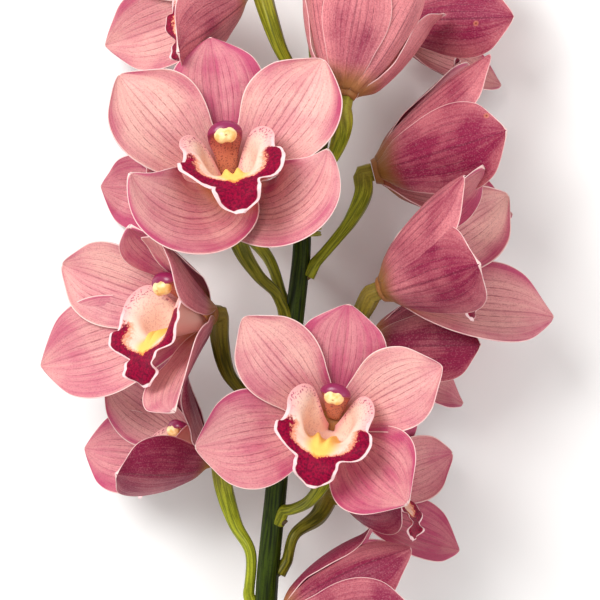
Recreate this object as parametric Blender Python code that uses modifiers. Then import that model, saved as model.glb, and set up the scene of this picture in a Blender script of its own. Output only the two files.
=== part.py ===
"""Cymbidium orchid stem, cut and laid down on a surface.

Blender 4.5 script, in metres with +Z up. The stem lies along Y: its cut end is at -Y and its
bud tip at +Y. The front blooms look up along +Z, the others face sideways or down. Lengths are
written in millimetres and turned into metres where a mesh or an object gets its place.
"""
import bmesh
import bpy
import numpy as np
from mathutils import Matrix, Vector

MM = 0.001

# Driving dimensions, in millimetres
DORSAL_LENGTH = 62.0
PETAL_LENGTH = 65.0
SEPAL_LENGTH = 66.0
DORSAL_HALF_WIDTH = 22.0
PETAL_HALF_WIDTH = 20.5
SEPAL_HALF_WIDTH = 25.0
TEPAL_THICKNESS = 0.8
LIP_LENGTH = 61.0
COLUMN_LENGTH = 29.0
CUP_RADIUS = 6.8
CUP_DEPTH = 3.6
TEPAL_ROOT = 6.0
TIP_HALF_WIDTH = 1.2
PEDICEL_RADIUS = 2.8
OVARY_RADIUS = 4.5
OVARY_END = 5.0
BUD_LENGTH = 29.0
BUD_RADIUS = 6.8
STRAND_RADIUS = 1.1
TIE_TURNS = 4
GAP = 0.35

# The view axis of the layout below runs through x = 0, y = 0. The part's origin is under its middle.
MIDDLE = (-1.32, -72.28)

# Grid steps of the blades: along the blade, across the blade
TEPAL_STEPS = (4, 4)
LIP_STEPS = (7, 6)
TRACE_STEPS = 48

# The lip at fractions of its length: half width over the curved cross-section, degrees that its
# sides fold up and that their margins flare back out, degrees that its midline dips
LIP_HALF_WIDTHS = ([0, 0.08, 0.2, 0.34, 0.42, 0.48, 0.56, 0.66, 0.74, 0.82, 0.92, 1.0],
                   [5, 15, 34, 38, 34, 28, 28, 25, 13, 11.5, 9, 3])
LIP_FOLDS = ([0, 0.2, 0.34, 0.44, 0.54, 0.66, 0.76, 1.0], [90, 98, 90, 72, 44, 22, 10, 8])
LIP_FLARES = (LIP_FOLDS[0], [0, 30, 66, 72, 52, 26, 10, 0])
LIP_FLARE_FROM = 0.58
LIP_DIPS = ([0, 0.25, 0.5, 0.62, 0.8, 1.0], [34, 8, 12, 34, 80, 105])
LIP_ROOT = (0.0, -4.2, 1.2)
LIP_SLICES = 16
RUFFLE_HEIGHT = 2.2
RUFFLE_LENGTH = 0.24
LOBE_FORWARD = 4.0

# The column at fractions of its length: degrees that its midline climbs, half width, height
COLUMN_CLIMBS = ([0, 0.5, 1.0], [24, 40, -24])
COLUMN_HALF_WIDTHS = ([0, 0.4, 0.75, 0.92, 1.0], [3.2, 5.4, 7.8, 7.2, 4.5])
COLUMN_HEIGHTS = ([0, 0.4, 0.8, 0.95, 1.0], [3.0, 3.6, 4.0, 3.4, 1.8])
COLUMN_ROOT = (0.0, 2.2, 2.3)
ANTHER_HALVES = (5.4, 3.2, 3.8)
ANTHER_BACK = 1.2
ANTHER_BELOW = 1.4

# A half-open bloom has its tepals a little narrower for each degree of closing, and from this
# closing on each tepal has a layer of its own, so that they wrap round the bloom without crossing.
CLOSING_NARROW = 0.003
HALF_OPEN = 15

UP_STEM = (0, 1, 0)
UP_SKY = (0, 0, 1)

# One entry for each tepal of a standard bloom. turn is the direction round the bloom's axis from
# the dorsal side, rise and lean are the climb towards the axis at the root and at the tip.
TEPALS = {
    "dorsal": dict(turn=0, length=DORSAL_LENGTH, half_width=DORSAL_HALF_WIDTH,
                   rise=46, lean=11, cup=16, peak=1.55, layer=1.7, layer_closed=1.7),
    "petal_left": dict(turn=-52, length=PETAL_LENGTH, half_width=PETAL_HALF_WIDTH,
                       rise=46, lean=13, cup=24, peak=1.5, layer=0.0, layer_closed=0.9),
    "petal_right": dict(turn=52, length=PETAL_LENGTH, half_width=PETAL_HALF_WIDTH,
                        rise=46, lean=13, cup=24, peak=1.5, layer=0.0, layer_closed=0.0),
    "sepal_left": dict(turn=-117, sweep=7, length=SEPAL_LENGTH, half_width=SEPAL_HALF_WIDTH,
                       rise=46, lean=14, cup=30, peak=1.45, layer=1.7, layer_closed=3.5),
    "sepal_right": dict(turn=117, sweep=-7, length=SEPAL_LENGTH, half_width=SEPAL_HALF_WIDTH,
                        rise=46, lean=14, cup=30, peak=1.45, layer=1.7, layer_closed=2.6),
}

# Thirteen blooms from the cut end to the tip. at is the middle of the cup that holds the tepals,
# leaves is how far up the stem the pedicel starts, via are the points that it passes. closing
# makes a half-open bloom, lip_size shrinks the lip and column inside it, and change adds to
# single tepals.
BLOOMS = [
    dict(name="bloom_01", at=(-6.5, -150.5, 67.5), facing=(0.95, 0.32, 0.02), roll=14, size=1.02,
         closing=46, lip_size=0.72, lip_width=0.8, leaves=-182, via=[(-17.0, -168.0, 62)],
         change={"sepal_left": dict(lean=-8, length=5),
                 "petal_left": dict(turn=-14, lean=18, length=5, half_width=2),
                 "dorsal": dict(lean=14, length=-3)}),
    dict(name="bloom_02", at=(-45.0, -74.0, 54), facing=(-0.85, 0.22, 0.5), roll=-5, size=0.93,
         closing=18, lip_size=0.79, lip_width=0.72, leaves=-141,
         via=[(-23.5, -119.5, 52), (-30.5, -107.0, 48), (-36.0, -90.5, 47)],
         change={"sepal_right": dict(turn=8, lean=36, rise=8, length=8, half_width=-3),
                 "sepal_left": dict(turn=22)}),
    dict(name="bloom_03", at=(21.5, -93.0, 44), facing=(0.90, 0.15, 0.30), roll=24, size=0.92,
         closing=26, lip_size=0.85, leaves=-122.5, via=[(-2.5, -111.0, 54), (8.5, -103.0, 47)],
         change={"dorsal": dict(length=-2.5)}),
    dict(name="bloom_04", at=(15.0, -55.5, 99), facing=(-0.10, 0.09, 1.0), roll=12, size=0.94,
         lip_size=0.93, lip_width=0.94, leaves=-98,
         via=[(-2.5, -97.5, 66), (5.5, -92.0, 76), (13.0, -78.0, 86)],
         change={"dorsal": dict(turn=-3, length=-6), "petal_right": dict(length=-5),
                 "sepal_right": dict(turn=10, lean=14, length=-8)}),
    dict(name="bloom_05", at=(-43.5, -6.5, 86), facing=(-0.70, 0.02, 0.71), roll=-10, size=1.02,
         closing=8, lip_size=0.95, lip_width=0.91, leaves=-56.5,
         via=[(-22.5, -47.0, 66), (-33.0, -35.0, 70), (-37.0, -20.0, 74)],
         change={"dorsal": dict(lean=44, turn=10, length=-6),
                 "petal_right": dict(lean=28, rise=14),
                 "sepal_right": dict(turn=40, lean=18, rise=10),
                 "sepal_left": dict(length=13, turn=14, lean=-3),
                 "petal_left": dict(turn=-8, lean=-3, length=3)}),
    dict(name="bloom_06", at=(34.5, -21.5, 37.0), facing=(0.98, 0.0, -0.05), roll=25, size=0.88,
         closing=40, lip_size=0.72, lip_width=0.8, leaves=-47,
         via=[(7.0, -34.0, 50), (21.5, -26.5, 42)]),
    dict(name="bloom_07", at=(40.5, 6.0, 85), facing=(0.85, 0.34, 0.42), roll=8, size=1.10,
         closing=30, lip_size=0.77, lip_width=0.72, leaves=-29, via=[(14.0, -21.0, 66), (27.0, -8.0, 75)],
         change={"dorsal": dict(lean=30), "petal_left": dict(lean=22, half_width=3),
                 "sepal_left": dict(lean=12, rise=12), "sepal_right": dict(length=5, lean=-8)}),
    dict(name="bloom_08", at=(-32.0, 52.5, 99), facing=(0.03, 0.42, 1.0), roll=-8, size=1.02,
         closing=4, lip_size=0.97, lip_width=0.90, leaves=-4,
         via=[(-11.5, 3.5, 66), (-19.5, 11.5, 74), (-28.0, 26.0, 84)],
         change={"petal_left": dict(turn=-4, sweep=26, half_width=3),
                 "petal_right": dict(turn=10, sweep=-26, half_width=3, rise=-3),
                 "sepal_left": dict(turn=-50, sweep=128, lean=23, rise=-4, cup=-4, length=6,
                                    half_width=-2, peak=-0.4, layer=1),
                 "sepal_right": dict(turn=46, sweep=-132, lean=22, rise=-14, cup=-4, length=-3,
                                     half_width=-4, peak=-0.4, layer=3)}),
    dict(name="bloom_09", at=(-46.0, 49.5, 28.4), facing=(-0.92, 0.0, 0.3), roll=32, size=0.90,
         closing=24, lip_size=0.72, lip_width=0.8, leaves=0,
         via=[(-14.0, 18.0, 52), (-24.0, 31.0, 42)], change={"sepal_right": dict(turn=-30)}),
    dict(name="bloom_10", at=(38.0, 61.5, 53), facing=(0.97, 0.24, 0.05), roll=24, size=1.06,
         closing=40, lip_size=0.72, lip_width=0.8, leaves=18,
         via=[(16.5, 28.0, 62), (24.5, 38.5, 59), (30.0, 51.0, 55)],
         change={"sepal_left": dict(lean=-8, length=6),
                 "petal_left": dict(lean=4, length=4, half_width=2)}),
    dict(name="bloom_11", at=(20.5, 95.0, 92), facing=(0.22, 0.93, -0.25), roll=8, size=0.93,
         up=UP_SKY, closing=46, lip_size=0.70, lip_width=0.7, leaves=49,
         via=[(10.0, 58.0, 72), (16.5, 69.0, 82), (19.5, 80.0, 90)]),
    dict(name="bloom_12", at=(-27.0, 146.5, 62), facing=(-0.9, -0.25, 0.22), roll=5, size=1.0,
         closing=30, lip_size=0.86, leaves=84.5,
         via=[(0.0, 101.0, 62), (-9.0, 117.0, 67), (-15.0, 134.0, 66)],
         change={"sepal_left": dict(length=14, turn=12)}),
    dict(name="bloom_13", at=(45.5, 134.0, 34.2), facing=(0.98, -0.02, 0.0), roll=22, size=0.96,
         closing=44, lip_size=0.72, lip_width=0.8, leaves=96.5,
         via=[(21.5, 114.0, 48), (33.0, 128.0, 39)]),
]

# Stem centre line and radius from the cut end to the tip. It is straight and bare below, bends
# gently through the blooms and ends in the buds.
STEM = [
    (-19.0, -388.0, 5.4, 5.8), (-17.5, -293.0, 20, 5.7), (-16.5, -216.0, 38, 5.5),
    (-16.0, -142.0, 52, 5.3), (-13.5, -111.5, 56, 5.2), (-11.5, -92.0, 58, 5.1),
    (-8.5, -61.0, 60, 4.9), (-4.5, -23.5, 60, 4.7), (-2.0, -3.0, 60, 4.5), (0.5, 19.0, 60, 4.3),
    (2.0, 41.5, 60, 4.2), (7.5, 63.5, 59, 3.9), (11.0, 85.0, 58, 3.5), (10.0, 100.0, 58, 3.3),
    (7.5, 113.0, 57, 3.1), (6.0, 141.5, 54, 2.8), (4.0, 165.0, 54, 2.4), (1.5, 188.5, 55, 1.9),
    (0.0, 205.0, 56, 1.6),
]
STEM_POINTS = 34
PEDICEL_POINTS = 9
SHEATHS = (-316.0, -262.0, -208.0)
SHEATH_LENGTH = 44.0
BRACT_LENGTH = 8.0
BUDS = [
    dict(name="bud_01", leaves=163, heading=(-0.55, 0.80, 0.25)),
    dict(name="bud_02", leaves=184, heading=(0.60, 0.78, -0.10)),
    dict(name="bud_03", leaves=205, heading=(-0.05, 1.0, 0.05)),
]
TIE_SPAN = (42.0, 30.5)
TIE_TAIL = [(-7.0, 28.0, 66.5), (-10.5, 26.5, 65.5), (-14.0, 25.5, 64.0)]

COLOURS = {
    "tepals": ((0.78, 0.42, 0.48, 1.0), 0.45),
    "lip": ((0.85, 0.55, 0.55, 1.0), 0.40),
    "column": ((0.42, 0.06, 0.20, 1.0), 0.40),
    "pedicel": ((0.36, 0.33, 0.06, 1.0), 0.50),
    "stem": ((0.10, 0.14, 0.03, 1.0), 0.50),
    "tie": ((0.50, 0.52, 0.16, 1.0), 0.55),
    "bud": ((0.45, 0.40, 0.16, 1.0), 0.45),
}


def clear_scene():
    for old in list(bpy.data.objects):
        bpy.data.objects.remove(old, do_unlink=True)


def material(kind):
    """The plain finish of one kind of piece, made once for each object."""
    colour, roughness = COLOURS[kind]
    made = bpy.data.materials.new(kind)
    made.use_nodes = True
    shader = made.node_tree.nodes["Principled BSDF"]
    shader.inputs["Base Color"].default_value = colour
    shader.inputs["Roughness"].default_value = roughness
    shader.inputs["Metallic"].default_value = 0.0
    return made


def add_object(name, data, kind, collection, parent=None):
    made = bpy.data.objects.new(name, data)
    if kind:
        data.materials.append(material(kind))
    collection.objects.link(made)
    made.parent = parent
    return made


def unit(vector):
    vector = np.asarray(vector, float)
    return vector/np.linalg.norm(vector)


def bloom_axes(bloom):
    """Right, up and facing directions of a bloom, as rows."""
    facing = unit(bloom["facing"])
    hint = np.array(bloom.get("up", UP_STEM), float)
    up = unit(hint - facing*(hint @ facing))
    right = np.cross(up, facing)
    roll = np.radians(bloom["roll"])
    up = up*np.cos(roll) + right*np.sin(roll)
    return np.array([np.cross(up, facing), up, facing])


def trace(turn, pitch, length, start):
    """Midline of a flower part: points, directions and the normals of its inner side."""
    turn, pitch = np.radians(turn), np.radians(pitch)
    outward = np.stack([np.sin(turn), np.cos(turn), 0*turn], axis=-1)
    forward = np.array([0.0, 0.0, 1.0])
    tangent = np.cos(pitch)[:, None]*outward + np.sin(pitch)[:, None]*forward
    normal = np.cos(pitch)[:, None]*forward - np.sin(pitch)[:, None]*outward
    step = (tangent[1:] + tangent[:-1])/2*length/TRACE_STEPS
    points = np.vstack([np.zeros(3), np.cumsum(step, axis=0)]) + start
    return points, tangent, normal


def read_line(line, where):
    """A traced line read at fractions of its length."""
    even = np.linspace(0, 1, TRACE_STEPS + 1)
    return [np.stack([np.interp(where, even, part[:, i]) for i in range(3)], axis=-1) for part in line]


def smooth_step(x):
    x = np.clip(x, 0, 1)
    return x*x*(3 - 2*x)


def tepal_surface(tepal, s, t):
    """Inner face of one tepal. s runs from root to tip, t from -1 to 1 across."""
    even = np.linspace(0, 1, TRACE_STEPS + 1)
    turn = tepal["turn"] + tepal.get("sweep", 0)*even
    pitch = tepal["lean"] + (tepal["rise"] - tepal["lean"])*(1 - even)**1.4
    root = np.radians(tepal["turn"])
    start = (TEPAL_ROOT*np.sin(root), TEPAL_ROOT*np.cos(root), -0.6)
    point, along, inner = read_line(trace(turn, pitch, tepal["length"], start), s)
    across = np.cross(along, inner)
    outline = np.sin(np.pi*(0.06 + 0.94*s)**tepal["peak"])**0.66
    half = np.maximum(tepal["half_width"]*outline, TIP_HALF_WIDTH)
    from_axis = np.hypot(point[:, 0], point[:, 1])
    nest = half*along[:, 2]/from_axis
    bend = np.clip(nest, 0.02, 1.3) + np.radians(tepal["cup"]*s**1.5 + 25*s**8)
    radius = half/bend
    keel = 0.05*tepal["half_width"]*np.exp(-(t/0.22)**2)*np.sin(np.pi*0.93*s)
    side = radius*np.sin(t*bend)
    high = radius*(1 - np.cos(t*bend)) - keel - tepal["layer"]*smooth_step(s/0.18)
    return point + side[:, None]*across + high[:, None]*inner


def lip_surface(width, s, t):
    """Upper face of the lip: a trough with raised side lobes, then a ruffled hanging midlobe."""
    even = np.linspace(0, 1, TRACE_STEPS + 1)
    line = trace(180 + 0*even, 90 - np.interp(even, *LIP_DIPS), LIP_LENGTH, LIP_ROOT)
    point, along, upper = read_line(line, s)
    half = np.interp(s, *LIP_HALF_WIDTHS)
    fold = np.radians(np.interp(s, *LIP_FOLDS))
    flare = np.radians(np.interp(s, *LIP_FLARES))
    bend_from = np.interp(s, [0, 0.6, 1], [0.18, 0.12, 0.10])
    bend_to = np.interp(s, [0, 0.5, 0.7, 1], [0.45, 0.5, 0.8, 1])
    reach = np.abs(t)
    side, high = 0*s, 0*s
    for i in range(LIP_SLICES):
        x = reach*(i + 0.5)/LIP_SLICES
        tilt = (fold*smooth_step((x - bend_from)/(bend_to - bend_from))
                - flare*smooth_step((x - LIP_FLARE_FROM)/(1 - LIP_FLARE_FROM)))
        side = side + np.cos(tilt)*half*reach/LIP_SLICES
        high = high + np.sin(tilt)*half*reach/LIP_SLICES
    front = smooth_step((s - 0.46)/0.14)
    wave = np.cos(2*np.pi*(s - 0.60)/RUFFLE_LENGTH + 0.5*np.sign(t))
    high = high + RUFFLE_HEIGHT*front*reach**2*wave
    lobe = np.clip((s - 0.08)/0.3, 0, 1)*np.clip((0.6 - s)/0.12, 0, 1)
    across = np.array([1.0, 0.0, 0.0])
    return (point + (side*np.sign(t)*width)[:, None]*across + high[:, None]*upper
            + (LOBE_FORWARD*lobe*reach**2)[:, None]*along)


def column_line():
    even = np.linspace(0, 1, TRACE_STEPS + 1)
    return trace(0*even, 90 - np.interp(even, *COLUMN_CLIMBS), COLUMN_LENGTH, COLUMN_ROOT)


def column_surface(w, angle, rings):
    """The arched column: flat below, round on top, widest near its tip."""
    s = np.clip((w*rings - 1)/(rings - 2), 0, 1)
    closed = np.where((w < 0.5/rings) | (w > 1 - 0.5/rings), 0.0, 1.0)
    point, along, below = read_line(column_line(), s)
    half = np.interp(s, *COLUMN_HALF_WIDTHS)*closed
    high = np.interp(s, *COLUMN_HEIGHTS)*closed
    rise = np.where(np.sin(angle) > 0, np.sin(angle), 0.25*np.sin(angle))
    across = np.array([1.0, 0.0, 0.0])
    return point + (half*np.cos(angle))[:, None]*across - (high*rise)[:, None]*below


def anther_surface(w, angle, rings):
    """The two-lobed cap under the tip of the column."""
    point, along, below = [part[0] for part in read_line(column_line(), np.array([1.0]))]
    centre = point - ANTHER_BACK*along + ANTHER_BELOW*below
    half_width, half_height, half_length = ANTHER_HALVES
    lobes = 1 - 0.18*np.exp(-(np.cos(angle)/0.35)**2)
    ring = np.sin(np.pi*w)
    across = np.array([1.0, 0.0, 0.0])
    return (centre + (half_width*ring*np.cos(angle))[:, None]*across
            - (half_height*ring*np.sin(angle)*lobes)[:, None]*below
            + (half_length*np.cos(np.pi*w))[:, None]*along)


def blade(name, steps, surface, thickness, kind, collection, parent=None):
    """A grid bent into a blade by a formula for its inner face, and thickened behind it."""
    grid = bmesh.new()
    bmesh.ops.create_grid(grid, x_segments=steps[1], y_segments=steps[0], size=1.0)
    flat = np.array([vert.co[:] for vert in grid.verts])
    for vert, place in zip(grid.verts, surface((flat[:, 1] + 1)/2, flat[:, 0])):
        vert.co = Vector(place)*MM
    bmesh.ops.triangulate(grid, faces=grid.faces[:], quad_method="BEAUTY")
    mesh = bpy.data.meshes.new(name)
    grid.to_mesh(mesh)
    grid.free()
    made = add_object(name, mesh, kind, collection, parent)
    solid = made.modifiers.new("thickness", "SOLIDIFY")
    solid.thickness = thickness*MM
    solid.offset = -1.0
    return made


def round_piece(name, segments, rings, surface, kind, collection, parent=None):
    """A sphere reshaped by a formula of the place along its axis and the angle round it."""
    ball = bmesh.new()
    bmesh.ops.create_uvsphere(ball, u_segments=segments, v_segments=rings, radius=1.0)
    at = np.array([vert.co[:] for vert in ball.verts])
    w = np.arccos(np.clip(-at[:, 2], -1, 1))/np.pi
    angle = np.arctan2(at[:, 1], at[:, 0])
    for vert, place in zip(ball.verts, surface(w, angle, rings)):
        vert.co = Vector(place)*MM
    bmesh.ops.recalc_face_normals(ball, faces=ball.faces[:])
    if ball.calc_volume(signed=True) < 0:
        bmesh.ops.reverse_faces(ball, faces=ball.faces[:])
    mesh = bpy.data.meshes.new(name)
    ball.to_mesh(mesh)
    ball.free()
    mesh.shade_smooth()
    return add_object(name, mesh, kind, collection, parent)


def fuse(target, collection):
    """Join every object of a collection to the target as one solid, and remove them."""
    union = target.modifiers.new("fuse", "BOOLEAN")
    union.operation = "UNION"
    union.operand_type = "COLLECTION"
    union.collection = collection
    union.solver = "EXACT"
    bpy.context.view_layer.update()
    done = target.evaluated_get(bpy.context.evaluated_depsgraph_get())
    mesh = bpy.data.meshes.new_from_object(done)
    target.modifiers.clear()
    target.data = mesh
    for piece in list(collection.objects):
        bpy.data.objects.remove(piece, do_unlink=True)
    keep_outer_skin(mesh)


def islands(skin):
    """Groups of faces that hang together."""
    left = set(skin.faces)
    while left:
        group, edge_of_group = set(), [left.pop()]
        while edge_of_group:
            face = edge_of_group.pop()
            group.add(face)
            for edge in face.edges:
                for other in edge.link_faces:
                    if other in left:
                        left.remove(other)
                        edge_of_group.append(other)
        yield group


def keep_outer_skin(mesh):
    """Fill the small pockets that overlapping blades seal, and drop loose scraps."""
    skin = bmesh.new()
    skin.from_mesh(mesh)
    groups = sorted(islands(skin), key=len)
    for group in groups[:-1]:
        bmesh.ops.delete(skin, geom=list(group), context="FACES")
    skin.to_mesh(mesh)
    skin.free()


def rest_on_surface(made):
    """Press the lowest points flat where the piece touches the surface."""
    bpy.context.view_layer.update()
    world = made.matrix_world
    back = world.inverted()
    for vert in made.data.vertices:
        place = world @ vert.co
        if place.z < 0.0:
            place.z = 0.0
            vert.co = back @ place


def through(points, count):
    """Evenly spread points on a smooth curve through the given ones."""
    points = np.asarray(points, float)
    spans = np.linalg.norm(np.diff(points[:, :3], axis=0), axis=1)**0.5
    knots = np.concatenate([[0], np.cumsum(spans)])
    slopes = np.gradient(points, knots, axis=0)
    found = []
    for x in np.linspace(0, knots[-1], count):
        i = min(max(int(np.searchsorted(knots, x)), 1), len(knots) - 1)
        width = knots[i] - knots[i - 1]
        h = (x - knots[i - 1])/width
        found.append((2*h**3 - 3*h**2 + 1)*points[i - 1] + (h**3 - 2*h**2 + h)*width*slopes[i - 1]
                     + (3*h**2 - 2*h**3)*points[i] + (h**3 - h**2)*width*slopes[i])
    return np.array(found)


def tube(name, points, radii, sides, kind, collection, parent=None):
    """A round rod along points, with filled ends."""
    curve = bpy.data.curves.new(name, "CURVE")
    curve.dimensions = "3D"
    curve.bevel_depth = MM
    curve.bevel_resolution = (sides - 4)//2
    curve.use_fill_caps = True
    spline = curve.splines.new("POLY")
    spline.points.add(len(points) - 1)
    for knot, place, radius in zip(spline.points, points, radii):
        knot.co = (*(np.asarray(place)*MM), 1.0)
        knot.radius = radius
    return add_object(name, curve, kind, collection, parent)


def as_mesh(made):
    """Turn a rod into a mesh with its end caps welded on."""
    bpy.context.view_layer.update()
    mesh = bpy.data.meshes.new_from_object(made.evaluated_get(bpy.context.evaluated_depsgraph_get()))
    weld = bmesh.new()
    weld.from_mesh(mesh)
    bmesh.ops.remove_doubles(weld, verts=weld.verts[:], dist=0.00001)
    weld.to_mesh(mesh)
    weld.free()
    name, owner, parent, place = made.name, made.users_collection[0], made.parent, made.matrix_world.copy()
    bpy.data.objects.remove(made, do_unlink=True)
    solid = bpy.data.objects.new(name, mesh)
    owner.objects.link(solid)
    solid.parent = parent
    solid.matrix_world = place
    return solid


def stem_at(stem, y):
    """Centre, direction and radius of the stem where it passes y."""
    place = np.array([np.interp(y, stem[:, 1], stem[:, i]) for i in range(4)])
    step = np.array([np.interp(y + 2, stem[:, 1], stem[:, i]) for i in range(3)]) - place[:3]
    if np.linalg.norm(step) < 0.5:
        step = stem[-1, :3] - stem[-2, :3]
    return place[:3], unit(step), place[3]


def leave_stem(stem, y, towards, foot_radius):
    """Where a stalk starts beside the stem at y, so that its foot just clears the stem's skin."""
    centre, along, radius = stem_at(stem, y)
    outward = np.asarray(towards, float) - centre
    outward = unit(outward - along*(outward @ along))
    skin = centre + outward*(radius + GAP)
    straight_out = unit(np.asarray(towards, float) - skin) @ outward
    return skin + outward*foot_radius*np.sqrt(1 - straight_out**2), outward, along


def scaled(surface, size):
    return lambda *where: surface(*where)*size


def make_bloom(bloom, stem, collection, scraps, root):
    """One bloom: its fused tepals, its lip, its column and its pedicel."""
    name, size = bloom["name"], bloom["size"]
    inner_size = size*bloom.get("lip_size", 1.0)
    rows = bloom_axes(bloom)
    holder = bpy.data.objects.new(name, None)
    collection.objects.link(holder)
    holder.parent = root
    holder.matrix_local = Matrix.Translation(Vector(bloom["at"])*MM) @ Matrix(rows.T.tolist()).to_4x4()
    closing = bloom.get("closing", 0)
    for part, standard in TEPALS.items():
        tepal = dict(standard)
        tepal["rise"] += 0.1*closing
        tepal["lean"] += 1.3*closing
        tepal["half_width"] *= 1 - CLOSING_NARROW*closing
        if closing > HALF_OPEN:
            tepal["layer"] = tepal["layer_closed"]
        for key, extra in bloom.get("change", {}).get(part, {}).items():
            tepal[key] = tepal.get(key, 0) + extra
        surface = scaled(lambda s, t, tepal=tepal: tepal_surface(tepal, s, t), size)
        blade(name + "_" + part, TEPAL_STEPS, surface, TEPAL_THICKNESS, None, scraps, holder)
    cup = bmesh.new()
    shift = Matrix.Translation((0, 0, (0.4 - CUP_DEPTH/2)*size*MM))
    bmesh.ops.create_cone(cup, cap_ends=True, cap_tris=False, segments=8, radius1=0.8*CUP_RADIUS*size*MM,
                          radius2=CUP_RADIUS*size*MM, depth=CUP_DEPTH*size*MM, matrix=shift)
    mesh = bpy.data.meshes.new(name + "_tepals")
    cup.to_mesh(mesh)
    cup.free()
    tepals = add_object(name + "_tepals", mesh, "tepals", collection, holder)
    fuse(tepals, scraps)
    tepals.data.shade_flat()
    rest_on_surface(tepals)
    width = bloom.get("lip_width", 1.0)
    surface = scaled(lambda s, t: lip_surface(width, s, -t), inner_size)
    blade(name + "_lip", LIP_STEPS, surface, TEPAL_THICKNESS, "lip", collection, holder)
    column = round_piece(name + "_column", 6, 6, scaled(column_surface, inner_size),
                         "column", collection, holder)
    round_piece(name + "_anther", 6, 4, scaled(anther_surface, inner_size), None, scraps, holder)
    fuse(column, scraps)
    make_pedicel(bloom, stem, rows, collection, root)


def make_pedicel(bloom, stem, rows, collection, root):
    """The stalk from the stem to the bloom, swelling into the ovary."""
    size = bloom["size"]
    foot_radius = min(1.2*PEDICEL_RADIUS, stem_at(stem, bloom["leaves"])[2])
    start = leave_stem(stem, bloom["leaves"], bloom["via"][0], foot_radius)[0]
    cup_back = np.array(bloom["at"]) - rows[2]*(size*(CUP_DEPTH - 0.4) + GAP)
    neck = through([start] + bloom["via"] + [cup_back - rows[2]*OVARY_END], PEDICEL_POINTS - 1)
    points = np.vstack([neck, cup_back])
    even = np.linspace(0, 1, PEDICEL_POINTS)
    thick = np.interp(even, [0, 0.12, 0.45, 0.75, 0.95, 1],
                      [foot_radius, PEDICEL_RADIUS, PEDICEL_RADIUS, 0.92*OVARY_RADIUS,
                       OVARY_RADIUS, 0.95*OVARY_RADIUS])
    tube(bloom["name"] + "_pedicel", points, thick, 6, "pedicel", collection, root)


def make_stem(stem, collection, scraps, root):
    """The main stem with its papery sheaths and a small bract under each pedicel."""
    rod = as_mesh(tube("stem", stem[:, :3], stem[:, 3], 8, None, collection, root))
    rod.data.materials.append(material("stem"))
    for number, y in enumerate(SHEATHS):
        centre, along, radius = stem_at(stem, y)
        cone = bmesh.new()
        turn = Vector(along).to_track_quat("Z", "Y").to_matrix().to_4x4()
        place = Matrix.Translation(Vector(centre)*MM) @ turn
        bmesh.ops.create_cone(cone, cap_ends=True, segments=10, radius1=(radius + 0.5)*MM,
                              radius2=(radius + 1.6)*MM, depth=SHEATH_LENGTH*MM, matrix=place)
        mesh = bpy.data.meshes.new("sheath")
        cone.to_mesh(mesh)
        cone.free()
        add_object("sheath_%d" % number, mesh, None, scraps, root)
    for bloom in BLOOMS:
        skin, outward, along = leave_stem(stem, bloom["leaves"], bloom["via"][0], 0.0)
        foot = skin - along*(PEDICEL_RADIUS + 4.0) - outward*1.6
        lean = unit(along*0.45 + outward)
        cone = bmesh.new()
        turn = Vector(lean).to_track_quat("Z", "Y").to_matrix().to_4x4()
        place = Matrix.Translation(Vector(foot + lean*BRACT_LENGTH*0.3)*MM) @ turn
        bmesh.ops.create_cone(cone, cap_ends=True, segments=4, radius1=2.0*MM, radius2=0.4*MM,
                              depth=BRACT_LENGTH*0.75*MM, matrix=place)
        mesh = bpy.data.meshes.new("bract")
        cone.to_mesh(mesh)
        cone.free()
        add_object("bract_" + bloom["name"], mesh, None, scraps, root)
    fuse(rod, scraps)
    rod.data.shade_smooth()
    rod.data.set_sharp_from_angle(angle=np.radians(40))
    rest_on_surface(rod)


def make_bud(bud, stem, collection, root):
    """A closed bud on its short stalk, made as one round piece along a bent line."""
    heading = unit(bud["heading"])
    centre, along, radius = stem_at(stem, bud["leaves"])
    if bud["leaves"] >= stem[-1, 1]:
        start, outward = centre + along*GAP, along
    else:
        start, outward, along = leave_stem(stem, bud["leaves"], centre + heading*20, 1.6)
    bend = start + outward*4
    tip = bend + heading*(6 + BUD_LENGTH)

    def surface(w, angle, rings):
        s = np.clip((w*rings - 1)/(rings - 2), 0, 1)
        closed = np.where((w < 0.5/rings) | (w > 1 - 0.5/rings), 0.0, 1.0)
        point = (((1 - s)**2)[:, None]*start + (2*s*(1 - s))[:, None]*bend + (s**2)[:, None]*tip)
        across = unit(np.cross(heading, (0.0, 0.0, 1.0)))
        over = np.cross(across, heading)
        thick = np.interp(s, [0, 0.25, 0.42, 0.6, 0.8, 1.0],
                          [1.5, 1.6, 0.6*BUD_RADIUS, BUD_RADIUS, 0.72*BUD_RADIUS, 0.6])*closed
        return point + (thick*np.cos(angle))[:, None]*across + (thick*np.sin(angle))[:, None]*over

    round_piece(bud["name"], 8, 9, surface, "bud", collection, root)


def make_tie(stem, collection, root):
    """A split-leaf tie wound round the stem, with one loose end."""
    per_turn = 9
    points = []
    for i in range(TIE_TURNS*per_turn + 1):
        y = TIE_SPAN[0] + (TIE_SPAN[1] - TIE_SPAN[0])*i/(TIE_TURNS*per_turn)
        centre, along, radius = stem_at(stem, y)
        angle = 2*np.pi*i/per_turn + 0.5*np.pi
        wide = radius + GAP + STRAND_RADIUS + 1.5
        deep = radius + GAP + STRAND_RADIUS + 0.8
        points.append(centre + np.array([wide*np.cos(angle) + 0.8, 0, deep*np.sin(angle)]))
    points += [np.array(place) for place in TIE_TAIL]
    tube("tie", points, [STRAND_RADIUS]*len(points), 6, "tie", collection, root)


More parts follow.
